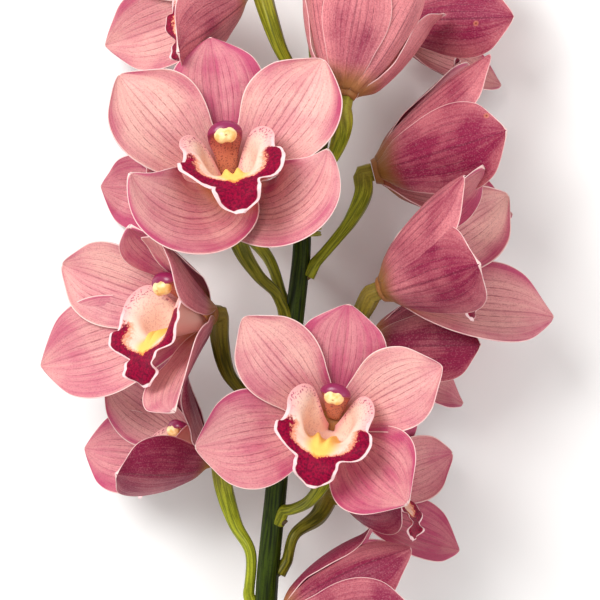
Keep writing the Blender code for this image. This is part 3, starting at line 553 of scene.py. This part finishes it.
class Paint:
    """Builds one procedural material, node by node."""

    def __init__(self, name, roughness, specular=0.5, coat=0.0, subsurface=0.0):
        self.material = bpy.data.materials.new(name)
        self.material.use_nodes = True
        self.tree = self.material.node_tree
        self.shader = self.tree.nodes["Principled BSDF"]
        sockets = self.shader.inputs
        sockets["Roughness"].default_value = roughness
        sockets["Specular IOR Level"].default_value = specular
        sockets["Coat Weight"].default_value = coat
        sockets["Coat Roughness"].default_value = 0.35
        if subsurface:
            sockets["Subsurface Weight"].default_value = subsurface
            sockets["Subsurface Radius"].default_value = (0.003, 0.0012, 0.001)
            sockets["Subsurface Scale"].default_value = 1.0

    def node(self, kind, **inputs):
        made = self.tree.nodes.new(kind)
        for key, value in inputs.items():
            self.feed(made.inputs[key.replace("_", " ")], value)
        return made

    def feed(self, socket, value):
        if isinstance(value, bpy.types.NodeSocket):
            self.tree.links.new(value, socket)
        else:
            socket.default_value = value

    def mark(self, name):
        """One of the meshes' own measures: along, across, edge or tone."""
        made = self.tree.nodes.new("ShaderNodeAttribute")
        made.attribute_name = name
        return made.outputs["Fac"]

    def place(self):
        return self.tree.nodes.new("ShaderNodeTexCoord").outputs["Object"]

    def away(self, spot):
        """Distance from the upright line through a spot given in x and y."""
        parts = self.node("ShaderNodeSeparateXYZ", Vector=self.place()).outputs
        across = self.math("SUBTRACT", parts[0], spot[0]*MM)
        along = self.math("SUBTRACT", parts[1], spot[1]*MM)
        return self.math("SQRT", self.math("MULTIPLY_ADD", across, across, self.times(along, along)))

    def math(self, operation, a, b=0.0, c=0.0):
        made = self.tree.nodes.new("ShaderNodeMath")
        made.operation = operation
        for socket, value in zip(made.inputs, (a, b, c)):
            self.feed(socket, value)
        return made.outputs[0]

    def times(self, a, b):
        return self.math("MULTIPLY", a, b)

    def plus(self, a, b):
        return self.math("ADD", a, b)

    def ramp(self, value, low, high, to_low=0.0, to_high=1.0):
        """A smooth change from to_low to to_high as value goes from low to high."""
        made = self.tree.nodes.new("ShaderNodeMapRange")
        made.interpolation_type = "SMOOTHSTEP"
        for socket, item in zip(made.inputs, (value, low, high, to_low, to_high)):
            self.feed(socket, item)
        return made.outputs[0]

    def noise(self, scale, detail, vector=None, roughness=0.5):
        made = self.tree.nodes.new("ShaderNodeTexNoise")
        made.inputs["Scale"].default_value = scale
        made.inputs["Detail"].default_value = detail
        made.inputs["Roughness"].default_value = roughness
        self.tree.links.new(vector if vector is not None else self.place(), made.inputs["Vector"])
        return made.outputs["Fac"]

    def grain(self, across, along, shift, detail):
        """Noise in a form's own measures, drawn out by these factors across and along it."""
        vector = self.node("ShaderNodeCombineXYZ", X=self.times(self.mark("across"), across),
                           Y=self.times(self.mark("along"), along), Z=shift).outputs[0]
        return self.noise(1.0, detail, vector)

    def mix(self, amount, one, other):
        made = self.tree.nodes.new("ShaderNodeMix")
        made.data_type = "RGBA"
        made.clamp_factor = True
        self.feed(made.inputs[0], amount)
        self.feed(made.inputs[6], one)
        self.feed(made.inputs[7], other)
        return made.outputs[2]

    def bump(self, height, strength, distance):
        made = self.tree.nodes.new("ShaderNodeBump")
        made.inputs["Strength"].default_value = strength
        made.inputs["Distance"].default_value = distance
        self.tree.links.new(height, made.inputs["Height"])
        self.tree.links.new(made.outputs[0], self.shader.inputs["Normal"])

    def finish(self, colour, roughness=None):
        self.feed(self.shader.inputs["Base Color"], colour)
        if roughness is not None:
            self.feed(self.shader.inputs["Roughness"], roughness)
        return self.material


def srgb(red, green, blue):
    """A colour as read from a screen, 0 to 255, as linear light."""
    found = []
    for value in (red, green, blue):
        value /= 255
        found.append(value/12.92 if value <= 0.04045 else ((value + 0.055)/1.055)**2.4)
    return (*found, 1.0)


def vein_lines(paint, lines, sharp, wander):
    """Lines that run along a blade and meet at its root and tip, from 0 between them to 1 on them."""
    drift = paint.grain(2.5, 1.6, paint.mark("tone"), 2.0)
    shifted = paint.math("MULTIPLY_ADD", drift, wander, paint.mark("across"))
    wave = paint.math("SINE", paint.times(shifted, lines*math.pi))
    return paint.math("POWER", paint.math("ABSOLUTE", wave), sharp)


def tepal_paint(name, outer):
    paint = Paint(name, 0.48, specular=0.22, subsurface=0.05)
    along, across, edge, tone = [paint.mark(m) for m in ("along", "across", "edge", "tone")]
    reach = paint.math("ABSOLUTE", across)
    fine = paint.noise(1400.0, 2.0)
    cloud = paint.noise(45.0, 3.0)
    streaks = paint.grain(12.0, 1.6, tone, 4.0)
    patches = paint.grain(0.9, 1.5, paint.times(tone, 7.0), 2.0)
    veins = vein_lines(paint, 6.5, 34.0, 0.12)
    hair = vein_lines(paint, 21.0, 10.0, 0.08)
    breaks = paint.grain(40.0, 22.0, tone, 3.0)
    # root is the real orange and olive colour at a tepal's base. Being darker than the blade, it also
    # serves as painted shade where the tepals meet in the cup.
    if outer:
        pale, deep, vein = srgb(222, 134, 138), srgb(138, 28, 66), srgb(98, 18, 46)
        root, rim = srgb(158, 108, 42), srgb(240, 196, 192)
    else:
        pale, deep, vein = srgb(236, 180, 170), srgb(188, 78, 112), srgb(130, 46, 68)
        root, rim = srgb(206, 132, 84), srgb(253, 224, 214)
    if outer:
        flush = paint.times(paint.ramp(reach, 0.25, 1.0, 1.0, 0.3),
                            paint.ramp(patches, 0.25, 0.75, 0.12, 0.72))
    else:
        flush = paint.times(paint.ramp(reach, 0.50, 1.0), paint.ramp(patches, 0.40, 0.62, 0.05, 0.75))
    flush = paint.plus(flush, paint.ramp(streaks, 0.35, 0.70, 0.0, 0.22))
    flush = paint.plus(flush, paint.ramp(cloud, 0.38, 0.68, -0.10, 0.25))
    flush = paint.plus(flush, paint.times(tone, 0.42))
    colour = paint.mix(flush, pale, deep)
    core = paint.ramp(reach, 0.35, 0.95, 1.0, 0.10)
    fade = paint.times(paint.ramp(along, 0.02, 0.25, 0.3, 1.0), paint.ramp(along, 0.60, 0.98, 1.0, 0.1))
    show = paint.times(paint.times(veins, core), fade)
    show = paint.times(show, paint.ramp(breaks, 0.38, 0.56, 0.25, 1.0))
    colour = paint.mix(paint.times(show, 0.62), colour, vein)
    threads = paint.times(paint.times(hair, fade), paint.ramp(breaks, 0.42, 0.60, 0.0, 0.30))
    colour = paint.mix(threads, colour, vein)
    midrib = paint.ramp(reach, 0.0, 0.035, 1.0, 0.0)
    colour = paint.mix(paint.times(midrib, 0.50 if outer else 0.22), colour, vein)
    if outer:
        colour = paint.mix(paint.ramp(fine, 0.50, 0.68, 0.0, 0.10), colour, rim)
        colour = paint.mix(paint.ramp(fine, 0.32, 0.50, 0.28, 0.0), colour, vein)
    else:
        colour = paint.mix(paint.ramp(fine, 0.50, 0.68, 0.0, 0.24), colour, vein)
    # Towards its root each tepal takes its real orange-green base colour, which also darkens the base
    # as painted shade in the cup.
    colour = paint.mix(paint.ramp(along, 0.03, 0.26 if outer else 0.20, 0.85, 0.0), colour, root)
    colour = paint.mix(paint.ramp(edge, 0.10, 0.65, 0.85, 0.0), colour, rim)
    if outer:
        for spot in BLEMISHES:
            away = paint.away(spot)
            colour = paint.mix(paint.ramp(away, 0.0009, 0.0015, 0.55, 0.0), colour, srgb(206, 124, 92))
            colour = paint.mix(paint.ramp(away, 0.0003, 0.0006, 0.85, 0.0), colour, srgb(112, 50, 20))
    relief = paint.plus(paint.times(veins, -0.5), paint.times(hair, -0.25))
    relief = paint.plus(relief, paint.times(fine, 0.35))
    paint.bump(relief, 0.45, 0.00035)
    return paint.finish(colour, paint.ramp(streaks, 0.3, 0.7, 0.40, 0.54))


def lip_paint(name, under):
    paint = Paint(name, 0.55, specular=0.10, subsurface=0.04)
    along, across, edge = [paint.mark(m) for m in ("along", "across", "edge")]
    reach = paint.math("ABSOLUTE", across)
    fuzz = paint.noise(850.0, 4.0, roughness=0.7)
    soft = paint.noise(160.0, 2.0)
    grain = paint.noise(1500.0, 2.0)
    cream, blush = srgb(250, 216, 196), srgb(238, 168, 170)
    crimson, dark = srgb(152, 0, 50), srgb(96, 0, 38)
    orange, yellow = srgb(232, 112, 54), srgb(252, 200, 84)
    white, speckle = srgb(246, 208, 208), srgb(158, 34, 88)
    colour = paint.mix(paint.ramp(edge, 0.0, 9.0, 0.9, 0.1), cream, blush)
    if under:
        colour = paint.mix(paint.ramp(along, 0.5, 0.75), colour, srgb(226, 140, 150))
        return paint.finish(colour)
    # Purple specks on the side lobes, thickest near their margins
    dots = paint.noise(1000.0, 1.0)
    near = paint.times(paint.ramp(edge, 0.5, 1.4), paint.ramp(edge, 3.0, 8.0, 1.0, 0.25))
    lobes = paint.times(paint.ramp(along, 0.06, 0.14), paint.ramp(along, 0.40, 0.50, 1.0, 0.0))
    spots = paint.times(paint.ramp(dots, 0.56, 0.61), paint.times(near, lobes))
    colour = paint.mix(paint.times(spots, 0.75), colour, speckle)
    # Yellow throat and keels
    throat = paint.times(paint.ramp(reach, 0.14, 0.42, 1.0, 0.0), paint.ramp(along, 0.18, 0.36))
    colour = paint.mix(paint.times(throat, 0.9), colour, yellow)
    # The crimson V: wide on the midlobe, narrowing up both sides, with a speckled inner edge
    ragged = paint.plus(paint.math("MULTIPLY_ADD", fuzz, 11.0, -5.5),
                        paint.math("MULTIPLY_ADD", soft, 5.0, -2.5))
    inner = paint.plus(edge, ragged)
    wide = paint.tree.nodes.new("ShaderNodeFloatCurve")
    curve = wide.mapping.curves[0]
    curve.points[0].location = V_WIDTHS[0]
    curve.points[1].location = V_WIDTHS[-1]
    for knot in V_WIDTHS[1:-1]:
        curve.points.new(*knot)
    wide.mapping.update()
    paint.feed(wide.inputs["Value"], along)
    depth = paint.math("SUBTRACT", inner, paint.times(wide.outputs[0], V_UNIT))
    ahead = paint.plus(along, paint.times(soft, 0.10))
    start = paint.ramp(paint.plus(ahead, paint.times(fuzz, 0.08)), 0.575, 0.600)
    glow = paint.times(paint.ramp(depth, 0.5, 5.5, 1.0, 0.0), start)
    colour = paint.mix(paint.times(glow, 0.70), colour, orange)
    velvet = paint.mix(paint.ramp(fuzz, 0.35, 0.65), crimson, dark)
    band = paint.times(paint.ramp(depth, -0.9, 0.9, 1.0, 0.0), start)
    colour = paint.mix(band, colour, velvet)
    # White wavy margin
    margin = paint.plus(edge, paint.math("MULTIPLY_ADD", soft, 2.6, -1.3))
    pale = paint.times(paint.ramp(margin, 1.3, 1.9, 1.0, 0.0), paint.ramp(along, 0.40, 0.50))
    colour = paint.mix(pale, colour, white)
    relief = paint.plus(grain, paint.times(fuzz, 0.8))
    paint.bump(relief, 0.40, 0.0003)
    return paint.finish(colour)


def column_paint():
    paint = Paint("column_skin", 0.34, specular=0.5, coat=0.15)
    along, across = paint.mark("along"), paint.mark("across")
    # across is the turn round the column: 0.25 is its back and 0.75 its flat underside
    half = paint.ramp(along, 0.55, 0.95, 0.20, 0.11)
    turned = paint.math("ABSOLUTE", paint.math("SUBTRACT", across, 0.75))
    below = paint.ramp(paint.math("SUBTRACT", turned, half), -0.02, 0.05, 1.0, 0.0)
    top = paint.mix(paint.ramp(along, 0.2, 0.7), srgb(206, 110, 136), srgb(140, 26, 78))
    under = paint.mix(paint.ramp(along, 0.1, 0.85), srgb(206, 130, 96), srgb(184, 92, 84))
    dots = paint.ramp(paint.noise(1500.0, 1.0), 0.56, 0.62, 0.0, 0.7)
    under = paint.mix(dots, under, srgb(96, 20, 36))
    tip = paint.ramp(along, 0.86, 0.97)
    colour = paint.mix(below, top, under)
    colour = paint.mix(paint.times(tip, paint.times(below, 0.6)), colour, srgb(226, 150, 90))
    paint.bump(paint.noise(700.0, 3.0), 0.25, 0.0003)
    return paint.finish(colour)


def anther_paint():
    paint = Paint("anther_skin", 0.40, specular=0.45)
    cloud = paint.noise(260.0, 3.0)
    colour = paint.mix(paint.ramp(cloud, 0.35, 0.7), srgb(255, 234, 178), srgb(238, 186, 104))
    paint.bump(cloud, 0.3, 0.0004)
    return paint.finish(colour)


def stalk_paint():
    paint = Paint("pedicel_skin", 0.42, specular=0.18)
    along, tone = paint.mark("along"), paint.mark("tone")
    streaks = paint.grain(26.0, 5.0, tone, 4.0)
    green = paint.mix(paint.ramp(streaks, 0.35, 0.65), srgb(176, 182, 44), srgb(110, 120, 14))
    brown = paint.mix(paint.ramp(streaks, 0.35, 0.65), srgb(104, 82, 20), srgb(52, 38, 8))
    colour = paint.mix(tone, green, brown)
    bright = paint.ramp(along, 0.70, 0.98, 0.0, 0.45)
    colour = paint.mix(bright, colour, srgb(176, 150, 70))
    fine = paint.noise(1300.0, 2.0)
    colour = paint.mix(paint.ramp(fine, 0.5, 0.7, 0.0, 0.25), colour, srgb(58, 50, 14))
    paint.bump(paint.plus(streaks, paint.times(fine, 0.3)), 0.35, 0.0004)
    return paint.finish(colour)


def stem_paint():
    paint = Paint("stem_skin", 0.46, specular=0.14)
    along = paint.mark("along")
    streaks = paint.grain(34.0, 30.0, 0.3, 5.0)
    fine = paint.noise(1200.0, 2.0)
    low = paint.mix(paint.ramp(streaks, 0.35, 0.68), srgb(54, 70, 8), srgb(18, 28, 2))
    high = paint.mix(paint.ramp(streaks, 0.35, 0.68), srgb(122, 124, 36), srgb(78, 80, 16))
    colour = paint.mix(paint.ramp(along, 0.62, 0.86), low, high)
    colour = paint.mix(paint.ramp(fine, 0.54, 0.68, 0.0, 0.4), colour, srgb(24, 26, 6))
    paint.bump(paint.plus(streaks, paint.times(fine, 0.5)), 0.4, 0.0004)
    return paint.finish(colour)


def plain_paint(name, one, other, roughness=0.5, scale=200.0, stretch=None):
    """Two colours in soft clouds, or in streaks drawn out across and along a form."""
    paint = Paint(name, roughness)
    cloud = paint.grain(*stretch, paint.mark("tone"), 4.0) if stretch else paint.noise(scale, 4.0)
    paint.bump(cloud, 0.4, 0.0004)
    return paint.finish(paint.mix(paint.ramp(cloud, 0.32, 0.68), one, other))


STEM_LINE = through(STEM, 34)
FROM_LAYOUT = -MIDDLE


def put(made, node):
    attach(made, "root")
    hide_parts(node)


def bloom_place(bloom, size):
    rows = bloom_axes(bloom)
    at = np.array(bloom["at"], float) + FROM_LAYOUT
    return lambda points: at + (points*size) @ rows


def make_bloom(bloom, number, paints):
    name, size = bloom["name"], bloom["size"]
    inner_size = size*bloom.get("lip_size", 1.0)
    draw = np.random.default_rng(40 + number)
    place = bloom_place(bloom, size)
    closing = bloom.get("closing", 0)
    sheet = Sheet()
    for part, standard in TEPALS.items():
        tepal = dict(standard)
        tepal["rise"] += CLOSING_RISE*closing
        tepal["lean"] += CLOSING_LEAN*closing
        tepal["half_width"] *= 1 - CLOSING_NARROW*closing
        if closing > HALF_OPEN:
            tepal["layer"] = tepal["layer_closed"]
        for key, extra in bloom.get("change", {}).get(part, {}).items():
            tepal[key] = tepal.get(key, 0) + extra
        tepal["wave"] = draw.uniform(0.7, 1.6)*(1.0 if part.startswith("petal") else 0.5)
        tepal["waves"] = draw.uniform(1.1, 1.9)
        tepal["phase"] = draw.uniform(0, 1)
        tepal["curl"] = draw.uniform(*TIP_CURL)
        tepal["drop"] = 0.0 if part.startswith("petal") else SEPAL_DROP
        tone = 0.3*draw.uniform(0, 1) + FLUSHED.get(name, 0.3) + PART_FLUSH[part]
        blade(sheet, lambda s, t, tepal=tepal: tepal_surface(tepal, s, t), THICKNESS, TEPAL_GRID, place,
              lambda s, tepal=tepal: tepal_half_width(tepal, s), tepal["length"], tone)
    cup = [np.array([0, 0, z]) for z in np.linspace(-(CUP_DEPTH - CUP_FRONT), CUP_FRONT, 5)]
    rod_in_place(sheet, cup, lambda w, a: CUP_RADIUS*(0.8 + 0.2*w) + 0*a, 28, OUTSIDE, place)
    made = sheet.build("orchid_" + name + "_tepals", paints["tepals"])
    put(made, name + "_tepals")

    place = bloom_place(bloom, inner_size)
    width = bloom.get("lip_width", 1.0)
    sheet = Sheet()
    blade(sheet, lambda s, t: lip_surface(width, s, -t), THICKNESS, LIP_GRID, place,
          lambda s: soft_read(s, *LIP_HALF_WIDTHS), LIP_LENGTH, draw.uniform(0, 1))
    made = sheet.build("orchid_" + name + "_lip", paints["lip"])
    put(made, name + "_lip")

    sheet = Sheet()
    round_grid(sheet, column_surface, (26, 26), 0, place)
    round_grid(sheet, anther_surface, (18, 26), 1, place)
    made = sheet.build("orchid_" + name + "_column", paints["column"])
    put(made, name + "_column")
    make_pedicel(bloom, paints)


def round_grid(sheet, surface, steps, slot, place):
    """A closed round form; its first and last rows shrink to a point."""
    w_line = np.concatenate([[0.0], np.linspace(0, 1, steps[0] - 1), [1.0]])
    angle = np.linspace(0, 2*np.pi, steps[1], endpoint=False)
    w, a = [grid.ravel() for grid in np.meshgrid(w_line, angle, indexing="ij")]
    points = surface(w, a)
    rows = points.reshape(len(w_line), steps[1], 3)
    for row in (0, -1):
        rows[row] = rows[row].mean(axis=0) + (rows[row] - rows[row].mean(axis=0))*CLOSED_SHARE
    marks = np.stack([w, a/(2*np.pi), 0*w, 0*w], axis=-1)
    sheet.grid(place(rows.reshape(-1, 3)), marks, (len(w_line), steps[1]), slot, wrap=True)


def rod_in_place(sheet, points, radius_of, sides, slot, place):
    local = Sheet()
    rod(local, points, radius_of, sides, slot)
    marks = local.marks[0].copy()
    marks[:, 0] = 0.0
    marks[:, 2] = FAR_FROM_EDGE
    count = len(points) + 2
    sheet.grid(place(local.points[0]), marks, (count, sides), slot, wrap=True)


def make_pedicel(bloom, paints):
    size = bloom["size"]
    rows = bloom_axes(bloom)
    foot_radius = min(1.2*PEDICEL_RADIUS, stem_at(STEM_LINE, bloom["leaves"])[2])
    start, outward, along = leave_stem(STEM_LINE, bloom["leaves"], bloom["via"][0], foot_radius)
    cup_back = np.array(bloom["at"]) - rows[2]*(size*(CUP_DEPTH - CUP_FRONT) + GAP)
    neck = through([start] + bloom["via"] + [cup_back - rows[2]*OVARY_END], 44)
    first = start - outward*FOOT_IN - along*FOOT_DOWN
    joint = through([first, start, neck[2]], 12)[:-1]
    points = np.vstack([joint, neck[2:], cup_back - rows[2]*OVARY_END*0.5, cup_back]) + FROM_LAYOUT

    def radius_of(w, a):
        base = soft_read(w, [0, 0.12, 0.45, 0.75, 0.95, 1],
                         [foot_radius, PEDICEL_RADIUS, PEDICEL_RADIUS, 0.92*OVARY_RADIUS,
                          OVARY_RADIUS, 0.95*OVARY_RADIUS])
        return base*(1 + 0.07*np.cos(6*a)*smooth_step((w - 0.45)/0.3))

    sheet = Sheet()
    rod(sheet, points, radius_of, 36, 0, BROWNED.get(bloom["name"], 0.45))
    made = sheet.build("orchid_" + bloom["name"] + "_pedicel", paints["pedicel"])
    put(made, bloom["name"] + "_pedicel")


def make_stem(paints):
    sheet = Sheet()
    line = through(STEM, 220)
    even = np.linspace(0, 1, len(line))
    rod(sheet, line[:, :3] + FROM_LAYOUT,
        lambda w, a: np.interp(w, even, line[:, 3])*(1 + 0.012*np.cos(5*a)), 32, 0)
    for y in SHEATHS:
        centre, along, radius = stem_at(STEM_LINE, y)
        ends = [centre + along*x for x in np.linspace(-SHEATH_LENGTH/2, SHEATH_LENGTH/2, 24)]

        def flared(w, a, skin=radius + SHEATH_SKIN):
            return skin + w*(SHEATH_OPENING + SHEATH_GROOVE*np.cos(9*a))

        rod(sheet, np.array(ends) + FROM_LAYOUT, flared, 40, 1)
    for bloom in BLOOMS:
        skin, outward, along = leave_stem(STEM_LINE, bloom["leaves"], bloom["via"][0], 0.0)
        foot = skin - along*(PEDICEL_RADIUS + BRACT_BELOW) - outward*BRACT_IN
        lean = unit(along*0.45 + outward)
        ends = [foot + lean*x for x in np.linspace(0, BRACT_LENGTH*0.68, 10)]
        rod(sheet, np.array(ends) + FROM_LAYOUT, lambda w, a: BRACT_RADIUS*(1 - 0.9*w)**0.7 + 0*a,
            16, 2)
    made = sheet.build("orchid_stem", paints["stem"])
    for vert in made.data.vertices:
        vert.co.z = max(vert.co.z, 0.0)
    put(made, "stem")


def make_bud(bud, paints):
    heading = unit(bud["heading"])
    centre, along, _ = stem_at(STEM_LINE, bud["leaves"])
    if bud["leaves"] >= STEM_LINE[-1, 1]:
        start, outward = centre + along*GAP, along
    else:
        start, outward, along = leave_stem(STEM_LINE, bud["leaves"], centre + heading*20, 1.6)
    bend = start + outward*4
    tip = bend + heading*(BUD_STALK + BUD_LENGTH)
    s = np.linspace(0, 1, 60)[:, None]
    points = (1 - s)**2*start + 2*s*(1 - s)*bend + s**2*tip

    def radius_of(w, a):
        thick = soft_read(w, *BUD_RADII)
        return thick*(1 - 0.06*np.exp(-(np.cos(1.5*a)/0.18)**2)*smooth_step((w - 0.35)/0.15))

    sheet = Sheet()
    rod(sheet, points + FROM_LAYOUT, radius_of, 40, 0)
    made = sheet.build("orchid_" + bud["name"], paints["bud"])
    put(made, bud["name"])


def make_tie(paints):
    """The split-leaf tie: three thin strands side by side that wind round the stem."""
    sheet = Sheet()
    steps = TIE_TURNS*TIE_STEPS
    points, outwards = [], []
    for i in range(steps + 1):
        y = TIE_SPAN[0] + (TIE_SPAN[1] - TIE_SPAN[0])*i/steps
        centre, _, radius = stem_at(STEM_LINE, y)
        angle = 2*np.pi*i/TIE_STEPS + 0.5*np.pi
        wide = radius + GAP + STRAND_RADIUS + TIE_ROOM[0]
        deep = radius + GAP + STRAND_RADIUS + TIE_ROOM[1]
        points.append(centre + np.array([wide*np.cos(angle) + TIE_SHIFT, 0, deep*np.sin(angle)]))
        outwards.append([np.cos(angle), 0, np.sin(angle)])
    tail = through([points[-1]] + TIE_TAIL, 14)[1:]
    points = np.vstack([points, tail]) + FROM_LAYOUT
    outwards = np.vstack([outwards, np.tile([0, 0, 1], (len(tail), 1))])
    for k in range(STRANDS):
        twist = 2*np.pi*k/STRANDS + np.linspace(0, 2.4*np.pi, len(points))[:, None]
        offset = 0.58*STRAND_RADIUS*(np.cos(twist)*np.array([0, 1, 0]) + np.sin(twist)*outwards)
        rod(sheet, points + offset, lambda w, a: 0.46*STRAND_RADIUS*(1 + 0.12*np.cos(2*a + 40*w)),
            10, 0, 0.3*k)
    made = sheet.build("orchid_tie", paints["tie"])
    put(made, "tie")


def make_stage():
    bpy.ops.mesh.primitive_plane_add(size=FLOOR_SIZE, location=(0, 0, 0))
    floor = bpy.context.object
    floor.name = "floor"
    paint = Paint("floor_paint", 0.9, specular=0.1)
    floor.data.materials.append(paint.finish(srgb(250, 249, 247)))
    world = bpy.data.worlds.new("studio")
    world.use_nodes = True
    sky = world.node_tree.nodes["Background"].inputs
    sky["Color"].default_value = (1.0, 1.0, 1.0, 1.0)
    sky["Strength"].default_value = WORLD_LIGHT
    bpy.context.scene.world = world
    for name, place, size, power in LIGHTS:
        light = bpy.data.lights.new(name, "AREA")
        light.size = size
        light.energy = power
        holder = bpy.data.objects.new(name, light)
        bpy.context.scene.collection.objects.link(holder)
        holder.location = place
        towards = Vector(LIT_PLACE) - Vector(place)
        holder.rotation_euler = towards.to_track_quat("-Z", "Y").to_euler()


def make_camera():
    camera = bpy.data.cameras.new("camera")
    camera.lens = LENS
    camera.sensor_width = SENSOR
    camera.clip_start = 0.01
    holder = bpy.data.objects.new("camera", camera)
    bpy.context.scene.collection.objects.link(holder)
    holder.location = (FROM_LAYOUT[0]*MM, FROM_LAYOUT[1]*MM, EYE_HEIGHT*MM)
    bpy.context.scene.camera = holder


def main():
    bpy.context.scene.view_settings.view_transform = "Standard"
    paints = {
        "tepals": [tepal_paint("tepal_inside", False), tepal_paint("tepal_outside", True),
                   plain_paint("tepal_rim", srgb(250, 220, 214), srgb(236, 180, 186))],
        "lip": [lip_paint("lip_face", False), lip_paint("lip_underside", True),
                plain_paint("lip_rim", srgb(252, 222, 218), srgb(246, 204, 204))],
        "column": [column_paint(), anther_paint()],
        "pedicel": [stalk_paint()],
        "stem": [stem_paint(),
                 plain_paint("sheath", srgb(150, 140, 78), srgb(104, 96, 44), 0.6,
                             stretch=(30.0, 3.0)),
                 plain_paint("bract", srgb(110, 84, 34), srgb(62, 44, 18), 0.6, scale=300.0)],
        "bud": [plain_paint("bud_skin", srgb(196, 120, 110), srgb(140, 130, 56), 0.45,
                            stretch=(5.0, 2.0))],
        "tie": [plain_paint("tie_fibre", srgb(206, 204, 92), srgb(112, 116, 30),
                            stretch=(8.0, 60.0))],
    }
    make_stage()
    make_camera()
    make_stem(paints)
    make_tie(paints)
    for bud in BUDS:
        make_bud(bud, paints)
    for number, bloom in enumerate(BLOOMS):
        make_bloom(bloom, number, paints)


main()
